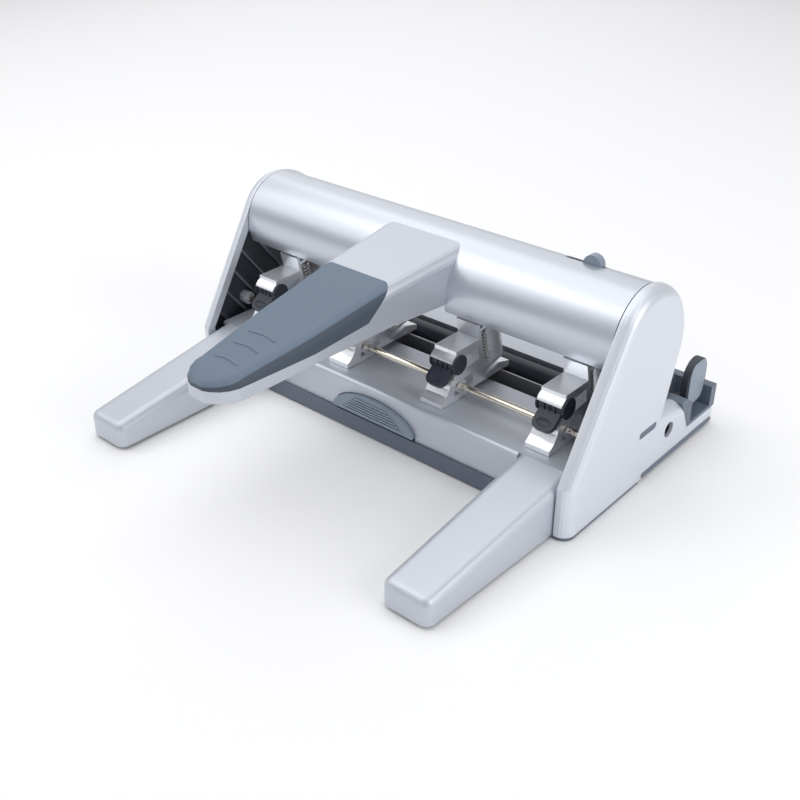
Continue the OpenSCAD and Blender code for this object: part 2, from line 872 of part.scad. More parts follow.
module head_frame(x) {
    color(bright)
        translate([x, 0, 0])
            difference() {
                union() {
                    difference() {
                        along_x(-head_w / 2, head_w / 2)
                            difference() {
                                polygon(head_outline());
                                polygon([for (i = [0:len(cavity_y) - 1]) [cavity_y[i], cavity_z[i]]]);
                                polygon([for (i = [0:len(window_y) - 1]) [window_y[i], window_zs[i]]]);
                            }
                    }
                    rod_x(hub_y, hub_z, hub_ring, -head_w / 2, head_w / 2);
                    rod_x(rod_y, rod_z, rod_boss_r, -head_w / 2, head_w / 2);
                    along_x(-head_w / 2, head_w / 2)
                        polygon([
                            [web_y0, rod_z + web_up],
                            [web_y1, rod_z - web_down],
                            [web_y2, rod_z - web_down],
                            [web_y2, rod_z + web_down]
                        ]);
                    leaning() {
                        translate([-head_w / 2, -hole_margin, bracket_low])
                            cube([head_w, bracket_t, bracket_front_top - bracket_low]);
                        translate([-head_w / 2, -hole_margin, bracket_low])
                            cube([head_w, hole_margin + bracket_rear + bracket_t - bracket_round, bracket_t]);
                        translate([-head_w / 2, bracket_rear, bracket_low + bracket_round])
                            cube([head_w, bracket_t, bracket_rear_top - bracket_low - bracket_round]);
                        intersection() {
                            difference() {
                                rod_x(bracket_rear + bracket_t - bracket_round, bracket_low + bracket_round,
                                    bracket_round, -head_w / 2, head_w / 2);
                                rod_x(bracket_rear + bracket_t - bracket_round, bracket_low + bracket_round,
                                    bracket_round - bracket_t, -head_w, head_w);
                            }
                            translate([-head_w, bracket_rear + bracket_t - bracket_round, 0])
                                cube([2 * head_w, bracket_round + over, bracket_low + bracket_round]);
                        }
                        translate([-head_w / 2, -hole_margin, flange_t0])
                            cube([head_w, hole_margin + flange_back, bracket_t]);
                    }
                    translate([-head_w / 2, rod_y, rod_z - rod_boss_r])
                        cube([head_w, window_y[1] + over - rod_y, rod_boss_r - rod_r - fit]);
                }
                rod_x(hub_y, hub_z, hub_r + fit, -head_w, head_w);
                rod_x(rod_y, rod_z, rod_r + fit, -head_w, head_w);
                along_x(-head_w, head_w)
                    polygon(concat([[hub_y, hub_z]], arc([hub_y, hub_z], 2 * hub_r, hub_open_a0, hub_open_a1, arc_steps)));
                leaning() {
                    translate([0, 0, bracket_low - over])
                        cylinder(r = die_r, h = flange_t0 + 2 * bracket_t);
                    translate([0, 0, -2 * hub_ring])
                        cylinder(r = die_r, h = 2 * hub_ring);
                }
            }
}
module head_frame_1() { head_frame(head_x[0]); }
module head_frame_2() { head_frame(head_x[1]); }
module head_frame_3() { head_frame(head_x[2]); }
module head_frame_4() { head_frame(head_x[3]); }

// Punch pin with its flat cap, and the collar that the spring pushes against
pin_tip_t = 2.8;
cap_top_t = 51.2;
cap_h = 3;
cap_r = 4;
collar_t = 27;
collar_h = 1.6;
collar_r = 4.4;
module punch_pin(x) {
    color(steel)
        translate([x, 0, 0])
            leaning() {
                translate([0, 0, pin_tip_t]) cylinder(r = pin_r, h = cap_top_t - pin_tip_t - over);
                translate([0, 0, cap_top_t - cap_h]) cylinder(r = cap_r, h = cap_h);
            }
}
module punch_pin_1() { punch_pin(head_x[0]); }
module punch_pin_2() { punch_pin(head_x[1]); }
module punch_pin_3() { punch_pin(head_x[2]); }
module punch_pin_4() { punch_pin(head_x[3]); }

module spring_collar(x) {
    color(steel)
        translate([x, 0, 0])
            leaning()
                difference() {
                    translate([0, 0, collar_t]) cylinder(r = collar_r, h = collar_h);
                    cylinder(r = pin_r, h = cap_top_t);
                }
}
module spring_collar_1() { spring_collar(head_x[0]); }
module spring_collar_2() { spring_collar(head_x[1]); }
module spring_collar_3() { spring_collar(head_x[2]); }
module spring_collar_4() { spring_collar(head_x[3]); }

// Spring wound as one tube. Rings follow a helix and stand upright at both ends
spring_sides = 6;
spring_rings = 8;
spring_z0 = bracket_low + bracket_t;
spring_z1 = collar_t - gap;
spring_n = spring_turns * spring_rings;
spring_rise = spring_z1 - spring_z0 - 2 * spring_wire;
spring_pitch = spring_rise / spring_turns;
spring_free = spring_pitch - spring_wire;
echo(spring_gap = spring_free);
function coil_pt(k) =
    let (a = 360 * k / spring_rings)
    [spring_r * cos(a), spring_r * sin(a), spring_z0 + spring_wire + spring_rise * k / spring_n];
slope_a = atan(spring_pitch / (2 * PI * spring_r));
function coil_ring(k) = [
    for (j = [0:spring_sides - 1])
        let (
            a = 360 * k / spring_rings,
            b = 360 * j / spring_sides,
            out = [cos(a), sin(a), 0],
            up = [sin(a) * sin(slope_a), -cos(a) * sin(slope_a), cos(slope_a)]
        )
        coil_pt(k) + spring_wire / 2 * (cos(b) * out + sin(b) * up)
];
function end_ring(k, z) = [
    for (j = [0:spring_sides - 1])
        let (a = 360 * k / spring_rings, b = 360 * j / spring_sides)
        [coil_pt(k)[0], coil_pt(k)[1], z]
            + spring_wire / 2 * (cos(b) * [cos(a), sin(a), 0] + sin(b) * [sin(a), -cos(a), 0])
];
function coil_rings() = concat(
    [end_ring(0, spring_z0), end_ring(0, spring_z0 + spring_wire)],
    [for (k = [1:spring_n - 1]) coil_ring(k)],
    [end_ring(spring_n, spring_z1 - spring_wire), end_ring(spring_n, spring_z1)]
);
module pin_spring(x) {
    color(steel)
        translate([x, 0, 0])
            leaning()
                loft(
                    coil_rings(),
                    [coil_pt(0)[0], coil_pt(0)[1], spring_z0],
                    [coil_pt(spring_n)[0], coil_pt(spring_n)[1], spring_z1]
                );
}
module pin_spring_1() { pin_spring(head_x[0]); }
module pin_spring_2() { pin_spring(head_x[1]); }
module pin_spring_3() { pin_spring(head_x[2]); }
module pin_spring_4() { pin_spring(head_x[3]); }

// Clamp lever: a hub with finger grooves, a tongue with an oval hollow and a side disc
tongue_w = 15;
tongue_t = 3.2;
tongue_end_y = -2;
tongue_end_z = 50.8;
disc_t = 1;
disc_r = 6.6;
groove_t = 1;
groove_deep = 1;
tongue_round = 5;
dimple_sink = 1.2;
tongue_len = norm([hub_y - tongue_end_y, hub_z - tongue_end_z]);
tongue_a = atan2(hub_z - tongue_end_z, hub_y - tongue_end_y);
module clamp_lever(x) {
    color(slate)
        translate([x, hub_y, hub_z])
            difference() {
                union() {
                    rod_x(0, 0, hub_r, -head_w / 2, head_w / 2);
                    for (side = [-1, 1])
                        translate([side * (head_w / 2 + disc_t / 2 + gap), 0, 0])
                            rod_x(0, 0, disc_r, -disc_t / 2, disc_t / 2);
                    for (side = [-1, 1])
                        translate([side * (head_w / 2 + gap), 0, 0])
                            rod_x(0, 0, hub_r - over, -gap - over, gap);
                    rotate([tongue_a, 0, 0]) {
                        translate([-tongue_w / 2, -tongue_len + tongue_round, -tongue_t / 2])
                            cube([tongue_w, tongue_len - tongue_round, tongue_t]);
                        for (m = [-1, 1])
                            translate([m * (tongue_w / 2 - tongue_round), -tongue_len + tongue_round, -tongue_t / 2])
                                cylinder(r = tongue_round, h = tongue_t);
                        translate([-tongue_w / 2 + tongue_round, -tongue_len, -tongue_t / 2])
                            cube([tongue_w - 2 * tongue_round, tongue_round + over, tongue_t]);
                    }
                }
                for (k = [-1, 0, 1])
                    translate([k * tongue_w / 4, 0, 0])
                        difference() {
                            rod_x(0, 0, hub_r + over, -groove_t / 2, groove_t / 2);
                            rod_x(0, 0, hub_r - groove_deep, -groove_t, groove_t);
                            along_x(-groove_t, groove_t)
                                polygon([[-tongue_len, -hub_r / 2], [tongue_len, -hub_r / 2],
                                    [tongue_len, -tongue_len], [-tongue_len, -tongue_len]]);
                        }
                rotate([tongue_a, 0, 0])
                    translate([0, -tongue_len + tongue_round, tongue_t / 2])
                        scale([tongue_round, tongue_round / 2, dimple_sink])
                            sphere(r = 1, $fn = fine_fn);
            }
}
module clamp_lever_1() { clamp_lever(head_x[0]); }
module clamp_lever_2() { clamp_lever(head_x[1]); }
module clamp_lever_3() { clamp_lever(head_x[2]); }
module clamp_lever_4() { clamp_lever(head_x[3]); }

// Chip tray that draws out to the front, with a ribbed thumb pad
tray_z0 = plate_z0 + plate_t + gap;
tray_front_y = table_front_y - tray_proud;
tray_front_top = fascia_low_z - gap;
tray_rear_y = 84;
tray_low_z = plate_z0 / 2;
tray_wall_back = 4;
tray_wall_x = tray_half_x - tray_wall_back;
tray_in_y = table_front_y + fascia_t + gap;
module chip_tray() {
    color(slate)
        union() {
            difference() {
                translate([-tray_wall_x, tray_in_y, tray_z0])
                    cube([2 * tray_wall_x, tray_rear_y - tray_in_y, tray_h]);
                translate([-tray_wall_x + tray_t, tray_in_y + tray_t, tray_z0 + tray_t])
                    cube([2 * (tray_wall_x - tray_t), tray_rear_y - tray_in_y - 2 * tray_t, tray_h]);
            }
            translate([-tray_half_x + gap, tray_front_y, tray_low_z])
                cube([2 * (tray_half_x - gap), tray_t, tray_front_top - tray_low_z]);
            translate([-tray_wall_x, tray_front_y + over, tray_z0])
                cube([2 * tray_wall_x, tray_in_y - tray_front_y, tray_front_top - tray_z0]);
        }
}
pad_proud = 1.4;
pad_y = tray_front_y - pad_proud;
rib_share = 0.8;
rib_loss = 0.064;
rib_proud = 1;
rib_h = 1;
module pad_half(x_half, h, y0, y1) {
    intersection() {
        translate([0, y1, pad_low_z])
            scale([x_half, 1, h])
                rotate([90, 0, 0])
                    cylinder(r = 1, h = y1 - y0);
        translate([-x_half, y0 - over, pad_low_z])
            cube([2 * x_half, y1 - y0 + 2 * over, h]);
    }
}
module thumb_pad() {
    pad_h = pad_top_z - pad_low_z;
    color(slate_light)
        union() {
            pad_half(pad_half_x, pad_h, pad_y, tray_in_y);
            translate([-pad_half_x / 2, tray_front_y + tray_t, tray_front_top])
                cube([pad_half_x, tray_in_y - tray_front_y - tray_t, pad_low_z - tray_front_top + over]);
            for (k = [1:pad_ribs])
                let (half = pad_half_x * (rib_share - rib_loss * k))
                    translate([-half, pad_y - rib_proud, pad_low_z + pad_h * k / (pad_ribs + 2)])
                        cube([2 * half, rib_proud + over, rib_h]);
        }
}

// Side guide at the right rear corner
guide_floor_t = 2.2;
housing_x = 118;
housing_low_z = notch_z;
upright_y0 = 144.5;
upright_z1 = 30;
slide_z0 = notch_z + guide_floor_t + gap;
slide_h = 6;
slide_y0 = 123;
slide_y1 = 139;
slide_in_x = 60;
hinge_round = 2.4;
paddle_hinge_z = slide_z0 + hinge_round;
pin_hinge_r = 1.5;
paddle_back = 6;
paddle_x0 = seam_x - paddle_back;
block_y = 107.3;
block_z = 38;
block_rear_z = 31;
housing_front_y = 102.5;
housing_front_z = 36;
cheek_t = 4;
module guide_housing() {
    color(slate_light)
        difference() {
            union() {
                along_x(housing_x, side_x - gap)
                    polygon([
                        [housing_front_y, housing_front_z],
                        [notch_low_y + gap, housing_low_z],
                        [notch_end_y, housing_low_z],
                        [notch_end_y, upright_z1],
                        [upright_y0, upright_z1],
                        [upright_y0, slide_z0 - gap],
                        [paddle_y - paddle_half_y - over, slide_z0 - gap],
                        [paddle_y - paddle_half_y - over, block_rear_z],
                        [block_y, block_z]
                    ]);
            }
        }
}
hinge_x = paddle_x0 + hinge_round;
disc_x = hinge_x + hinge_round + gap;
disc_w = 4.5;
stem_y0 = slide_y0 + cheek_t;
stem_y1 = slide_y1 - cheek_t;
disc_low_z = paddle_hinge_z + hinge_round + gap;
module rod_y(x, z, r, y0, y1) {
    translate([x, y0, z])
        rotate([-90, 0, 0])
            cylinder(r = r, h = y1 - y0);
}
module guide_slide() {
    color(steel)
        difference() {
            union() {
                translate([slide_in_x, slide_y0, slide_z0])
                    cube([hinge_x - hinge_round - gap - slide_in_x, slide_y1 - slide_y0, slide_h / 2]);
                for (y = [slide_y0, stem_y1]) {
                    translate([hinge_x - 2 * cheek_t, y, slide_z0])
                        cube([2 * cheek_t, cheek_t, 2 * hinge_round]);
                    rod_y(hinge_x, paddle_hinge_z, hinge_round, y, y + cheek_t);
                }
            }
            rod_y(hinge_x, paddle_hinge_z, pin_hinge_r, slide_y0 - cheek_t, slide_y1 + cheek_t);
        }
}
module guide_paddle() {
    color(dark)
        difference() {
            union() {
                rod_y(hinge_x, paddle_hinge_z, hinge_round - gap, stem_y0 + gap, stem_y1 - gap);
                translate([hinge_x, stem_y0 + gap, paddle_hinge_z])
                    cube([disc_x - hinge_x + over, stem_y1 - stem_y0 - 2 * gap, 2 * paddle_half_y]);
                for (z = [disc_low_z + paddle_half_y, paddle_top_z - paddle_half_y])
                    translate([disc_x, paddle_y, z])
                        rotate([0, 90, 0])
                            cylinder(r = paddle_half_y, h = disc_w);
                translate([disc_x, paddle_y - paddle_half_y, disc_low_z + paddle_half_y])
                    cube([disc_w, 2 * paddle_half_y, paddle_top_z - 2 * paddle_half_y - disc_low_z]);
            }
            rod_y(hinge_x, paddle_hinge_z, pin_hinge_r + fit, slide_y0, slide_y1);
        }
}
module paddle_pin() {
    color(steel) rod_y(hinge_x, paddle_hinge_z, pin_hinge_r, slide_y0, slide_y1);
}

base_frame();
bottom_plate();
bottom_screws();
rubber_feet();
table_cover();
rear_deck();
left_side_cover();
right_side_cover();
side_trim_strips();
side_windows();
axle();
axle_bushes();
guide_rod();
index_rail();
paper_ledge();
lever_barrel();
lever_handle();
lever_grip();
lever_liner();
drive_bar();
lock_slider();
head_frame_1();
head_frame_2();
head_frame_3();
head_frame_4();
pin_spring_1();
pin_spring_2();
pin_spring_3();
pin_spring_4();
punch_pin_1();
punch_pin_2();
punch_pin_3();
punch_pin_4();
spring_collar_1();
spring_collar_2();
spring_collar_3();
spring_collar_4();
clamp_lever_1();
clamp_lever_2();
clamp_lever_3();
clamp_lever_4();
chip_tray();
thumb_pad();
guide_housing();
guide_slide();
guide_paddle();
paddle_pin();
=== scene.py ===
"""Looks of a four-head desk punch: finishes, small pieces, soft light and the camera."""

import logging
import math
from dataclasses import dataclass, field
from enum import Enum
from typing import Any, Sequence

import bpy
import numpy as np
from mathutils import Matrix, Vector

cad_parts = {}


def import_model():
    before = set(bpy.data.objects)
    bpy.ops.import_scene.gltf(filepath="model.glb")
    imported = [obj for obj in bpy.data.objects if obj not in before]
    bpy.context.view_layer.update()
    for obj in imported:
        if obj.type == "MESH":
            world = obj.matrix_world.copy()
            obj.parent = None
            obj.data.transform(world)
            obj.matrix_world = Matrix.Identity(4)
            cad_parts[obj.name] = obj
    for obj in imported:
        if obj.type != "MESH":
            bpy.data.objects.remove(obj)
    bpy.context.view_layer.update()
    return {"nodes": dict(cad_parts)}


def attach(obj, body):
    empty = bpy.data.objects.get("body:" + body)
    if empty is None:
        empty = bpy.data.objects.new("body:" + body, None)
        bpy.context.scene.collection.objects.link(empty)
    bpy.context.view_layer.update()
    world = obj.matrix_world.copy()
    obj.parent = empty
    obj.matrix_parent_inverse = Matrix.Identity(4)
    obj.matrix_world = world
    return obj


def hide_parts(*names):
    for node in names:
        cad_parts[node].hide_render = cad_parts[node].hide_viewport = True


LOG = logging.getLogger("punch")
MM = 0.001
TAU = 2 * math.pi
Triple = tuple[float, float, float]


class Grain(Enum):
    """Fine surface structure, given as the scale of its pattern along each axis."""

    EVEN = (1.0, 1.0, 1.0)
    BRUSHED = (0.04, 1.0, 1.0)


class Sock:
    """A shader socket that can be used in sums and products."""

    def __init__(self, tree: bpy.types.NodeTree, out: bpy.types.NodeSocket) -> None:
        """Keeps the tree and the output socket."""
        self.tree = tree
        self.out = out

    def _math(self, op: str, first: Any, second: Any) -> "Sock":
        """Adds one Math node.

        Args:
            op: name of the Math operation.
            first: value or socket on the left.
            second: value or socket on the right.

        Returns:
            The node's result.
        """
        node = self.tree.nodes.new("ShaderNodeMath")
        node.operation = op
        for slot, value in enumerate((first, second)):
            if isinstance(value, Sock):
                self.tree.links.new(value.out, node.inputs[slot])
            else:
                node.inputs[slot].default_value = float(value)
        return Sock(self.tree, node.outputs[0])

    def clamped(self) -> "Sock":
        """Limits the value to the range from zero to one."""
        limited = self._math("ADD", self, 0.0)
        limited.out.node.use_clamp = True
        return limited

    def __add__(self, other: Any) -> "Sock":
        """Sum."""
        return self._math("ADD", self, other)

    def __radd__(self, other: Any) -> "Sock":
        """Sum with the value on the left."""
        return self._math("ADD", other, self)

    def __sub__(self, other: Any) -> "Sock":
        """Difference."""
        return self._math("SUBTRACT", self, other)

    def __rsub__(self, other: Any) -> "Sock":
        """Difference with the value on the left."""
        return self._math("SUBTRACT", other, self)

    def __mul__(self, other: Any) -> "Sock":
        """Product."""
        return self._math("MULTIPLY", self, other)

    def __rmul__(self, other: Any) -> "Sock":
        """Product with the value on the left."""
        return self._math("MULTIPLY", other, self)


# Painted shade: below this line a piece takes a darker colour that stands for the shade on its flank.
@dataclass(frozen=True)
class ShadeLine:
    """A line on a piece, rising towards the rear, below which it takes a second colour.

    Attributes:
        colour: the second colour.
        height: height of the line at depth zero, in metres.
        slope: rise of the line for each metre of depth.
        soft: height over which the two colours blend, in metres.
    """

    # colour: the second colour, a darker tone painted as shade below the line.
    colour: Triple
    height: float
    slope: float
    soft: float

    def share(self, y: Sock, z: Sock) -> Sock:
        """Gives the share of the second colour at a point.

        Args:
            y: depth of the point.
            z: height of the point.

        Returns:
            Zero above the line and one a little below it.
        """
        return ((self.height + self.slope * y - z) * (1 / self.soft)).clamped()


@dataclass(frozen=True)
class Finish:
    """One finish, built as a node material on Object coordinates.

    The colour and the roughness follow two noises, a fine one that also feeds the bump and
    a wide one that shades the whole piece.

    Attributes:
        name: name of the material.
        colour: middle colour.
        roughness: middle roughness.
        metallic: share of metal.
        coat: weight of the clear coat.
        grain: direction of the fine noise.
        grain_scale: scale of the fine noise.
        bump: strength of the bump.
        vary: share by which the colour swings to either side.
        specular: level of the mirror reflection.
        painted_shade: line below which a darker second colour is painted as shade, where there is one.
        wide_scale: scale of the wide noise.
        fine_detail: finer layers of the fine noise.
        wide_detail: finer layers of the wide noise.
        fine_share: share of the fine noise in the colour, the wide noise having the rest.
        rough_fine: swing of the roughness with the fine noise.
        rough_wide: swing of the roughness with the wide noise.
        coat_roughness: roughness of the clear coat.
        bump_depth: depth of the bump, in metres.
    """

    name: str
    colour: Triple
    roughness: float
    metallic: float = 0.0
    coat: float = 0.0
    grain: Grain = Grain.EVEN
    grain_scale: float = 1200.0
    bump: float = 0.05
    vary: float = 0.05
    specular: float = 0.5
    painted_shade: ShadeLine | None = None
    wide_scale: float = 14.0
    fine_detail: float = 3.0
    wide_detail: float = 2.0
    fine_share: float = 0.6
    rough_fine: float = 0.05
    rough_wide: float = 0.03
    coat_roughness: float = 0.25
    bump_depth: float = 0.2 * MM

    def node(self, tree: bpy.types.NodeTree, kind: str, settings: dict[str, Any],
             values: dict[Any, Any]) -> bpy.types.Node:
        """Makes any node.

        Args:
            tree: the material's tree.
            kind: node type.
            settings: attributes that are set first.
            values: values or sockets by input name or index.

        Returns:
            The new node.
        """
        made = tree.nodes.new(kind)
        for key, value in settings.items():
            setattr(made, key, value)
        for key, value in values.items():
            if isinstance(value, Sock):
                tree.links.new(value.out, made.inputs[key])
            else:
                made.inputs[key].default_value = value
        return made

    def noise(self, tree: bpy.types.NodeTree, place: Sock, scale: float, detail: float) -> Sock:
        """Adds a noise.

        Args:
            tree: the material's tree.
            place: coordinates that the noise reads.
            scale: its scale.
            detail: its number of finer layers.

        Returns:
            The noise as one value.
        """
        values = {"Vector": place, "Scale": scale, "Detail": detail}
        return Sock(tree, self.node(tree, "ShaderNodeTexNoise", {}, values).outputs[0])

    def blend(self, tree: bpy.types.NodeTree, share: Sock, first: Any, second: Triple) -> Sock:
        """Mixes two colours.

        Args:
            tree: the material's tree.
            share: share of the second colour.
            first: first colour, as a value with alpha or a socket.
            second: second colour.

        Returns:
            The mixed colour.
        """
        values = {0: share, 6: first, 7: second + (1.0,)}
        return Sock(tree, self.node(tree, "ShaderNodeMix", {"data_type": "RGBA"}, values).outputs[2])

    def material(self) -> bpy.types.Material:
        """Builds the material, or gives the one already built.

        Returns:
            The material.
        """
        if self.name in bpy.data.materials:
            return bpy.data.materials[self.name]
        mat = bpy.data.materials.new(self.name)
        mat.use_nodes = True
        tree = mat.node_tree
        shader = tree.nodes["Principled BSDF"]
        place = Sock(tree, self.node(tree, "ShaderNodeTexCoord", {}, {}).outputs["Object"])
        mapping = self.node(tree, "ShaderNodeMapping", {}, {"Vector": place, "Scale": self.grain.value})
        fine = self.noise(tree, Sock(tree, mapping.outputs[0]), self.grain_scale, self.fine_detail)
        wide = self.noise(tree, place, self.wide_scale, self.wide_detail)
        dark = tuple(c * (1 - self.vary) for c in self.colour)
        light = tuple(min(1.0, c * (1 + self.vary)) for c in self.colour)
        swing = fine * self.fine_share + wide * (1 - self.fine_share)
        colour = self.blend(tree, swing, dark + (1.0,), light)
        # Painted shade: below the line the colour turns darker, standing for the shade on the flank.
        if self.painted_shade is not None:
            axes = self.node(tree, "ShaderNodeSeparateXYZ", {}, {0: place})
            share = self.painted_shade.share(Sock(tree, axes.outputs[1]), Sock(tree, axes.outputs[2]))
            colour = self.blend(tree, share, colour, self.painted_shade.colour)
        tree.links.new(colour.out, shader.inputs["Base Color"])
        smoothest = self.roughness - (self.rough_fine + self.rough_wide) / 2
        rough = smoothest + fine * self.rough_fine + wide * self.rough_wide
        tree.links.new(rough.out, shader.inputs["Roughness"])
        shader.inputs["Metallic"].default_value = self.metallic
        shader.inputs["Coat Weight"].default_value = self.coat
        shader.inputs["Coat Roughness"].default_value = self.coat_roughness
        shader.inputs["Specular IOR Level"].default_value = self.specular
        bump = self.node(tree, "ShaderNodeBump", {},
                         {"Strength": self.bump, "Distance": self.bump_depth, "Height": fine})
        tree.links.new(bump.outputs[0], shader.inputs["Normal"])
        return mat

    def dress(self, obj: bpy.types.Object) -> None:
        """Puts the material on the whole of an object."""
        obj.data.materials.clear()
        obj.data.materials.append(self.material())


SILVER = Finish("silver_lacquer", (0.57, 0.60, 0.66), 0.44, metallic=0.56, coat=0.05,
                grain_scale=2600.0, bump=0.02, vary=0.02)
SILVER_BARREL = Finish("silver_barrel", (0.60, 0.63, 0.69), 0.34, metallic=0.78, coat=0.1,
                       grain_scale=2600.0, bump=0.02, vary=0.02)
# Painted light: a lighter copy of the silver lacquer on the side covers, standing for the strong light on
# their outer faces.
SILVER_PAINTED_LIGHT_COVER = Finish("silver_cover_painted_light", (0.72, 0.75, 0.81), 0.42, metallic=0.50, coat=0.05,
                      grain_scale=2600.0, bump=0.02, vary=0.02)
RAIL = Finish("rail_steel", (0.30, 0.31, 0.335), 0.34, metallic=0.35, grain=Grain.BRUSHED,
              grain_scale=2600.0, bump=0.01, vary=0.03)
# The grip's darker colour below the line is painted shade on its flank, which faces down and away from the
# light.
GRIP = Finish("grip_satin_painted_shade", (0.150, 0.198, 0.262), 0.5, grain_scale=1500.0, bump=0.03, vary=0.03,
              specular=0.25, painted_shade=ShadeLine((0.072, 0.090, 0.118), 0.12545, 0.158, 0.0006))
SLATE = Finish("slate_finish", (0.036, 0.043, 0.060), 0.42, specular=0.35)
SLATE_MID = Finish("slate_mid_finish", (0.13, 0.155, 0.20), 0.36, bump=0.04, vary=0.04, specular=0.4)
SLATE_LIGHT = Finish("slate_light_finish", (0.125, 0.155, 0.205), 0.4, vary=0.04, specular=0.4)
SLATE_PALE = Finish("slate_pale_finish", (0.26, 0.31, 0.38), 0.4, vary=0.04, specular=0.4)
DARK = Finish("dark_finish", (0.050, 0.056, 0.070), 0.45, specular=0.35)
FOOT = Finish("foot_finish", (0.02, 0.02, 0.022), 0.7, bump=0.1, vary=0.1, specular=0.3)
BRIGHT = Finish("bright_extrusion", (0.92, 0.94, 0.98), 0.30, metallic=0.70, grain=Grain.BRUSHED,
                grain_scale=3200.0, bump=0.006, vary=0.015)
STEEL = Finish("drawn_steel", (0.62, 0.61, 0.60), 0.24, metallic=1.0, grain=Grain.BRUSHED,
               grain_scale=1800.0, bump=0.015, vary=0.03)
WIRE = Finish("spring_wire", (0.90, 0.89, 0.86), 0.25, metallic=0.45, grain_scale=1800.0,
              bump=0.01, vary=0.03)
ROD = Finish("rod_metal", (0.72, 0.67, 0.58), 0.18, metallic=1.0, grain=Grain.BRUSHED,
             grain_scale=1800.0, bump=0.01, vary=0.03)


def grid_mesh(name: str, points: np.ndarray, closed_v: bool, caps: bool) -> bpy.types.Object:
    """Makes an object from a grid of points, rows along the path, columns round it.

    Each face joins two neighbouring points of one row to the same two of the next row.

    Args:
        name: object name.
        points: array of rows x columns x 3, in metres.
        closed_v: whether the columns close on themselves.
        caps: whether both end rows are closed by a face.

    Returns:
        The object, with its place in its mesh.
    """
    rows, cols = points.shape[:2]
    k = np.arange(rows * cols).reshape(rows, cols)
    nxt = np.roll(k, -1, axis=1) if closed_v else k[:, 1:]
    cur = k if closed_v else k[:, :-1]
    quads = np.stack([cur[:-1], nxt[:-1], nxt[1:], cur[1:]], axis=-1).reshape(-1, 4)
    faces = quads.tolist()
    if caps:
        faces.append(k[0, ::-1].tolist())
        faces.append(k[-1].tolist())
    mesh = bpy.data.meshes.new(name)
    mesh.from_pydata(points.reshape(-1, 3).tolist(), [], faces)
    mesh.polygons.foreach_set("use_smooth", np.ones(len(mesh.polygons), bool))
    mesh.update()
    obj = bpy.data.objects.new(name, mesh)
    bpy.context.scene.collection.objects.link(obj)
    return obj


def soft_block(name: str, centre: Sequence[float], half: Sequence[float], power: float) -> bpy.types.Object:
    """Builds a block with soft edges.

    Each coordinate is its half size times a signed power of the sphere's coordinate, so a
    small power gives a box with rounded edges and a power of one an ellipsoid.

    Args:
        name: object name.
        centre: middle of the block, in metres.
        half: half sizes, in metres.
        power: exponent of the sphere's coordinates.

    Returns:
        The block.
    """
    rows, columns, pole = 40, 64, 0.02
    v = np.linspace(-math.pi / 2 + pole, math.pi / 2 - pole, rows)
    u = np.linspace(0, TAU, columns, endpoint=False)

    def bent(t: np.ndarray) -> np.ndarray:
        """Signed power of an array."""
        return np.sign(t) * np.abs(t) ** power

    cv, sv = bent(np.cos(v))[:, None], bent(np.sin(v))[:, None]
    cu, su = bent(np.cos(u))[None], bent(np.sin(u))[None]
    pts = np.stack([half[0] * cv * cu, half[1] * cv * su, half[2] * sv * np.ones_like(cu)], axis=-1)
    return grid_mesh(name, pts + np.array(centre), True, True)


def face_frames(obj: bpy.types.Object) -> tuple[np.ndarray, np.ndarray]:
    """Reads the faces of a carried-over node.

    Args:
        obj: the node.

    Returns:
        Normals and centres in the shared frame, one row for each face.
    """
    count = len(obj.data.polygons)
    normal = np.empty(count * 3)
    centre = np.empty(count * 3)
    obj.data.polygons.foreach_get("normal", normal)
    obj.data.polygons.foreach_get("center", centre)
    turn = np.array(obj.matrix_world.to_3x3())
    move = np.array(obj.matrix_world.translation)
    return normal.reshape(-1, 3) @ turn.T, centre.reshape(-1, 3) @ turn.T + move


def second_finish(obj: bpy.types.Object, finish: Finish, chosen: np.ndarray) -> None:
    """Puts a second finish on some faces of a node.

    Args:
        obj: the node.
        finish: the second finish.
        chosen: one truth value for each face.
    """
    obj.data.materials.append(finish.material())
    obj.data.polygons.foreach_set("material_index", np.where(chosen, 1, 0).astype(np.int32))
    LOG.info("%s has %d faces in %s", obj.name, int(chosen.sum()), finish.name)


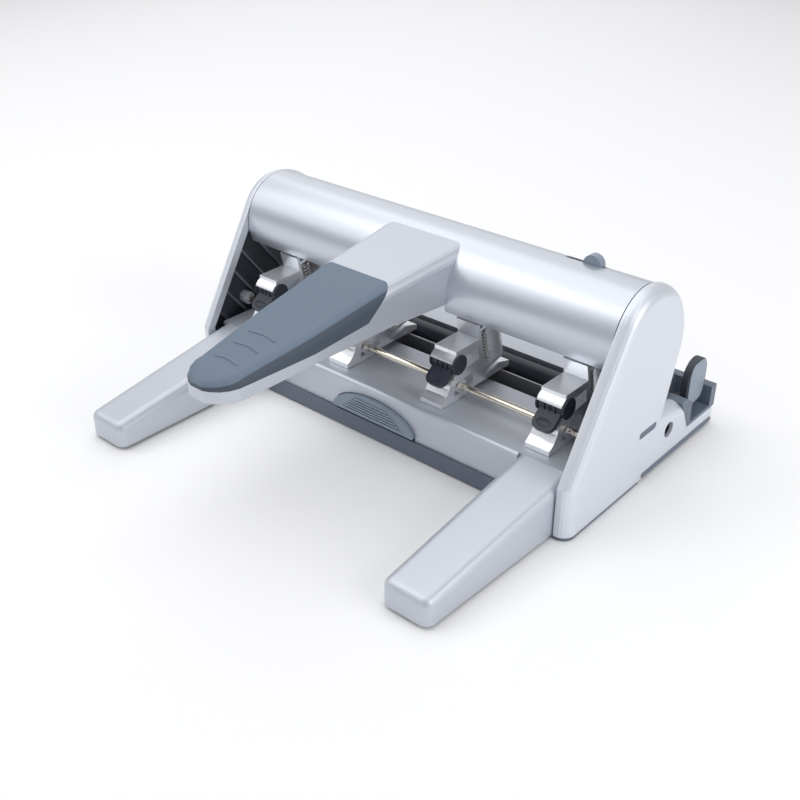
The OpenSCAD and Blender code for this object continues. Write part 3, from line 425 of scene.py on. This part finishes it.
@dataclass
class Housing:
    """The body, the lever, the tray and the side guide, all of them nodes of the solids.

    Attributes:
        rim_x: distance of a side cover's inner rim from the middle, a little past the rim.
        inward: share by which a face has to look inwards to count as a floor.
        finishes: finish of each node.
    """

    rim_x: float = 150 * MM
    inward: float = 0.5
    finishes: dict[str, Finish] = field(default_factory=lambda: {
        "base_frame": DARK, "bottom_plate": SLATE_MID, "bottom_screws": STEEL, "rubber_feet": FOOT,
        "table_cover": SILVER, "rear_deck": SILVER, "left_side_cover": SILVER_PAINTED_LIGHT_COVER,
        # The side covers take the lighter silver, painted light on their outer faces.
        "right_side_cover": SILVER_PAINTED_LIGHT_COVER, "side_trim_strips": SLATE_LIGHT, "side_windows": SLATE_LIGHT,
        "axle": STEEL, "axle_bushes": ROD, "guide_rod": ROD, "index_rail": RAIL, "paper_ledge": SLATE,
        "guide_housing": SLATE_LIGHT, "lever_barrel": SILVER_BARREL, "lever_handle": SILVER,
        "lever_grip": GRIP, "lever_liner": DARK, "drive_bar": STEEL, "lock_slider": SLATE_PALE,
        "chip_tray": SLATE_MID, "thumb_pad": SLATE_PALE, "guide_slide": STEEL, "guide_paddle": DARK,
        "paddle_pin": STEEL,
    })

    def dress(self, nodes: dict[str, bpy.types.Object]) -> None:
        """Gives each carried-over node its finish, and paints shade on the side covers' inner floors.

        Args:
            nodes: the nodes by name.
        """
        for name, finish in self.finishes.items():
            if name in nodes:
                finish.dress(nodes[name])
        # Painted shade: the recessed inner floors of the silver side covers take the dark finish.
        for name in ("left_side_cover", "right_side_cover"):
            self.paint_inner_shade(nodes[name])

    def paint_inner_shade(self, obj: bpy.types.Object) -> None:
        """Paints shade on the inner floor of a side cover by giving it the dark finish.

        The floor's faces look towards the middle of the machine and lie deeper than the rim.

        Args:
            obj: one side cover.
        """
        normal, centre = face_frames(obj)
        inward = normal[:, 0] * np.sign(centre[:, 0]) < -self.inward
        deep = np.abs(centre[:, 0]) > self.rim_x
        # Painted shade: the dark finish goes on the floor faces that look inwards and lie deep in the
        # cover.
        second_finish(obj, DARK, inward & deep)


@dataclass
class Heads:
    """The four punching heads, with their springs wound as smooth tubes.

    Attributes:
        count: number of heads.
        pitch: distance from head to head.
        lean: angle of the punching axis from upright.
        pin_y: depth of the axis where the spring's heights start.
        pin_z: height of that point.
        coil_r: radius of the wire's middle line.
        wire: thickness of the wire.
        z0: lower end of the spring along the axis.
        z1: upper end of the spring along the axis.
        turns: number of turns.
        turn_rings: rings for each turn.
        wire_sides: points of each ring.
        looks: finish of each piece of a head.
    """

    count: int = 4
    pitch: float = 80 * MM
    lean: float = math.radians(13)
    pin_y: float = 50.5 * MM
    pin_z: float = 46 * MM
    coil_r: float = 3.4 * MM
    wire: float = 0.9 * MM
    z0: float = 4.7 * MM
    z1: float = 26.7 * MM
    turns: int = 8
    turn_rings: int = 24
    wire_sides: int = 12
    looks: tuple[tuple[str, Finish], ...] = (
        ("head_frame", BRIGHT), ("punch_pin", STEEL), ("spring_collar", STEEL), ("clamp_lever", SLATE))

    def dress(self, nodes: dict[str, bpy.types.Object]) -> None:
        """Gives each piece of the heads its finish.

        Args:
            nodes: the nodes by name.
        """
        for i in range(self.count):
            for stem, finish in self.looks:
                name = f"{stem}_{i + 1}"
                if name in nodes:
                    finish.dress(nodes[name])

    def coil(self) -> np.ndarray:
        """Works out one spring's tube in its own frame, upright about the axis.

        The middle line is a helix, upright over one wire thickness at both ends. Each ring
        is a circle round the line, square to it.

        Returns:
            The rings' points, rows along the wire.
        """
        a = np.linspace(0, TAU * self.turns, self.turns * self.turn_rings + 1)
        z = self.z0 + self.wire + (self.z1 - self.z0 - 2 * self.wire) * a / a[-1]
        path = np.stack([self.coil_r * np.cos(a), self.coil_r * np.sin(a), z], axis=-1)
        low = path[0] * [1, 1, 0] + [0, 0, self.z0]
        high = path[-1] * [1, 1, 0] + [0, 0, self.z1]
        path = np.vstack([low, path, high])
        tangent = np.gradient(path, axis=0)
        tangent[0] = tangent[-1] = [0, 0, 1]
        tangent /= np.linalg.norm(tangent, axis=1, keepdims=True)
        outward = path * [1, 1, 0]
        outward /= np.linalg.norm(outward, axis=1, keepdims=True)
        outward -= (outward * tangent).sum(1, keepdims=True) * tangent
        outward /= np.linalg.norm(outward, axis=1, keepdims=True)
        side = np.cross(tangent, outward)
        b = np.linspace(0, TAU, self.wire_sides, endpoint=False)
        ring = outward[:, None] * np.cos(b)[None, :, None] + side[:, None] * np.sin(b)[None, :, None]
        return path[:, None] + ring * self.wire / 2

    def build(self) -> list[bpy.types.Object]:
        """Leans the coil about the X axis, moves it to each head and makes the springs.

        Returns:
            The four springs.
        """
        made = []
        tube = self.coil()
        c, s = math.cos(self.lean), math.sin(self.lean)
        y = tube[..., 1] * c - tube[..., 2] * s + self.pin_y
        z = tube[..., 1] * s + tube[..., 2] * c + self.pin_z
        turned = np.stack([tube[..., 0], y, z], axis=-1)
        for i in range(self.count):
            shifted = turned + [(i - (self.count - 1) / 2) * self.pitch, 0, 0]
            obj = grid_mesh(f"wound_spring_{i + 1}", shifted, True, True)
            WIRE.dress(obj)
            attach(obj, f"head_{i + 1}")
            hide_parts(f"pin_spring_{i + 1}")
            made.append(obj)
        return made


@dataclass
class GripDetail:
    """Three short cross ridges on the soft grip.

    Attributes:
        at: depth and height of each ridge's middle, in metres.
        half: half the length of the first ridge.
        shorten: share by which each further ridge is shorter.
        thick: half the width of a ridge.
        proud: height of a ridge over its middle line.
        bow: distance that the ends fall back.
        sag: distance that the ends drop.
        end_share: square of the width that is left at the ends.
        rings: rings along a ridge.
        sides: points of each ring.
    """

    at: tuple[tuple[float, float], ...] = ((-0.1014, 0.1113), (-0.1136, 0.1094), (-0.1278, 0.1072))
    half: float = 11 * MM
    shorten: float = 0.08
    thick: float = 1.3 * MM
    proud: float = 0.35 * MM
    bow: float = 2.2 * MM
    sag: float = 0.2 * MM
    end_share: float = 0.02
    rings: int = 25
    sides: int = 16

    def build(self) -> list[bpy.types.Object]:
        """Builds each ridge as a low bar.

        A ring is an ellipse about the ridge's middle line. It shrinks towards both ends by
        the root of one less the fourth power of the place along it, and the line bends back
        and down by the square of that place.

        Returns:
            The three ridges.
        """
        made = []
        u = np.linspace(-1, 1, self.rings)
        v = np.linspace(0, TAU, self.sides, endpoint=False)
        fade = np.sqrt(np.clip(1 - u ** 4, self.end_share, 1))[:, None]
        bend = u[:, None] ** 2
        for k, (y, z) in enumerate(self.at):
            x = self.half * (1 - self.shorten * k) * u[:, None] + 0 * v[None]
            yy = y + self.thick * fade * np.cos(v)[None] - self.bow * bend
            zz = z + self.proud * fade * np.sin(v)[None] - self.sag * bend
            obj = grid_mesh(f"grip_ridge_{k + 1}", np.stack([x, yy, zz], axis=-1), True, True)
            GRIP.dress(obj)
            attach(obj, "lever")
            made.append(obj)
        return made


@dataclass(frozen=True)
class Block:
    """Sizes of one soft block, in millimetres, with its body, its slot and its finish."""

    name: str
    centre: Triple
    half: Triple
    power: float
    body: str
    slot: str
    finish: Finish


@dataclass
class SmallParts:
    """Soft blocks on the side guide that the solids leave out."""

    blocks: tuple[Block, ...] = (
        Block("guide_block", (137.0, 110.0, 40.0), (7.5, 8.0, 6.5), 0.35, "base", "dark_plastic", DARK),
        Block("paddle_face", (152.35, 131.0, 38.2), (0.5, 10.6, 15.0), 0.55, "paddle", "slate_plastic",
              SLATE_PALE),
    )

    def build(self) -> list[bpy.types.Object]:
        """Builds and dresses each soft block.

        Returns:
            The blocks.
        """
        made = []
        for block in self.blocks:
            centre = [c * MM for c in block.centre]
            half = [h * MM for h in block.half]
            obj = soft_block(block.name, centre, half, block.power)
            block.finish.dress(obj)
            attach(obj, block.body)
            made.append(obj)
        return made


@dataclass(frozen=True)
class Lamp:
    """A square lamp that looks at the machine, with its place and width in metres."""

    name: str
    place: Triple
    width: float
    power: float


@dataclass
class Studio:
    """Pale floor, soft light and the camera.

    Attributes:
        place: the camera's place.
        azimuth: turn of the camera about the upright axis, in degrees.
        elevation: angle by which it looks down, in degrees.
        lens: focal length in millimetres.
        sensor: width of the sensor in millimetres.
        floor_half: half the width of the floor.
        floor_points: points along each side of the floor.
        floor_colour: colour of the floor, with alpha.
        floor_roughness: roughness of the floor.
        sky: strength of the light from all round.
        sky_colour: its colour, with alpha.
        aim: point that the lamps look at.
        lamps: the lamps.
    """

    place: Triple = (0.40049, -0.44892, 0.38156)
    azimuth: float = 40.945
    elevation: float = 30.743
    lens: float = 48.005
    sensor: float = 36
    floor_half: float = 6
    floor_points: int = 25
    floor_colour: tuple[float, ...] = (0.93, 0.93, 0.935, 1)
    floor_roughness: float = 0.8
    sky: float = 0.45
    sky_colour: tuple[float, ...] = (0.97, 0.98, 1.0, 1)
    aim: Triple = (0, 0, 0.05)
    lamps: tuple[Lamp, ...] = (
        Lamp("key", (-0.3, -0.05, 1.6), 2.2, 17.0),
        Lamp("fill", (-1.1, -0.9, 1.2), 1.3, 5.5),
        Lamp("side", (1.6, 0.1, 0.8), 1.1, 10.0),
        Lamp("back", (-1.0, 1.2, 0.9), 1.4, 3.5),
    )

    def build(self) -> None:
        """Makes the floor, the light and the camera."""
        self.lay_floor()
        self.light()
        self.stand_camera()

    def lay_floor(self) -> None:
        """Makes the floor, a flat square grid at height zero."""
        u = np.linspace(-self.floor_half, self.floor_half, self.floor_points)
        x, y = np.meshgrid(u, u, indexing="ij")
        floor = grid_mesh("floor", np.stack([x, y, 0 * x], axis=-1), False, False)
        mat = bpy.data.materials.new("floor_white")
        mat.use_nodes = True
        shader = mat.node_tree.nodes["Principled BSDF"]
        shader.inputs["Base Color"].default_value = self.floor_colour
        shader.inputs["Roughness"].default_value = self.floor_roughness
        floor.data.materials.append(mat)

    def light(self) -> None:
        """Sets the light from all round and hangs the lamps."""
        scene = bpy.context.scene
        world = bpy.data.worlds.new("studio")
        world.use_nodes = True
        background = world.node_tree.nodes["Background"]
        background.inputs[0].default_value = self.sky_colour
        background.inputs[1].default_value = self.sky
        scene.world = world
        scene.view_settings.view_transform = "Standard"
        for lamp in self.lamps:
            data = bpy.data.lights.new(lamp.name, "AREA")
            data.size = lamp.width
            data.energy = lamp.power
            obj = bpy.data.objects.new(lamp.name, data)
            scene.collection.objects.link(obj)
            obj.location = lamp.place
            look = Vector(self.aim) - Vector(lamp.place)
            obj.rotation_euler = look.to_track_quat("-Z", "Y").to_euler()

    def stand_camera(self) -> None:
        """Places and turns the camera."""
        cam = bpy.data.cameras.new("camera")
        cam.lens = self.lens
        cam.sensor_width = self.sensor
        cam.clip_start = 10 * MM
        obj = bpy.data.objects.new("camera", cam)
        bpy.context.scene.collection.objects.link(obj)
        obj.location = self.place
        obj.rotation_euler = (math.radians(90 - self.elevation), 0, math.radians(self.azimuth))
        bpy.context.scene.camera = obj


def main() -> None:
    """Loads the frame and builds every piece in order."""
    logging.basicConfig(level=logging.INFO)
    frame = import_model()
    nodes = frame["nodes"]
    Housing().dress(nodes)
    heads = Heads()
    heads.dress(nodes)
    for piece in heads.build() + GripDetail().build() + SmallParts().build():
        LOG.info("built %s", piece.name)
    Studio().build()


if __name__ == "__main__":
    main()
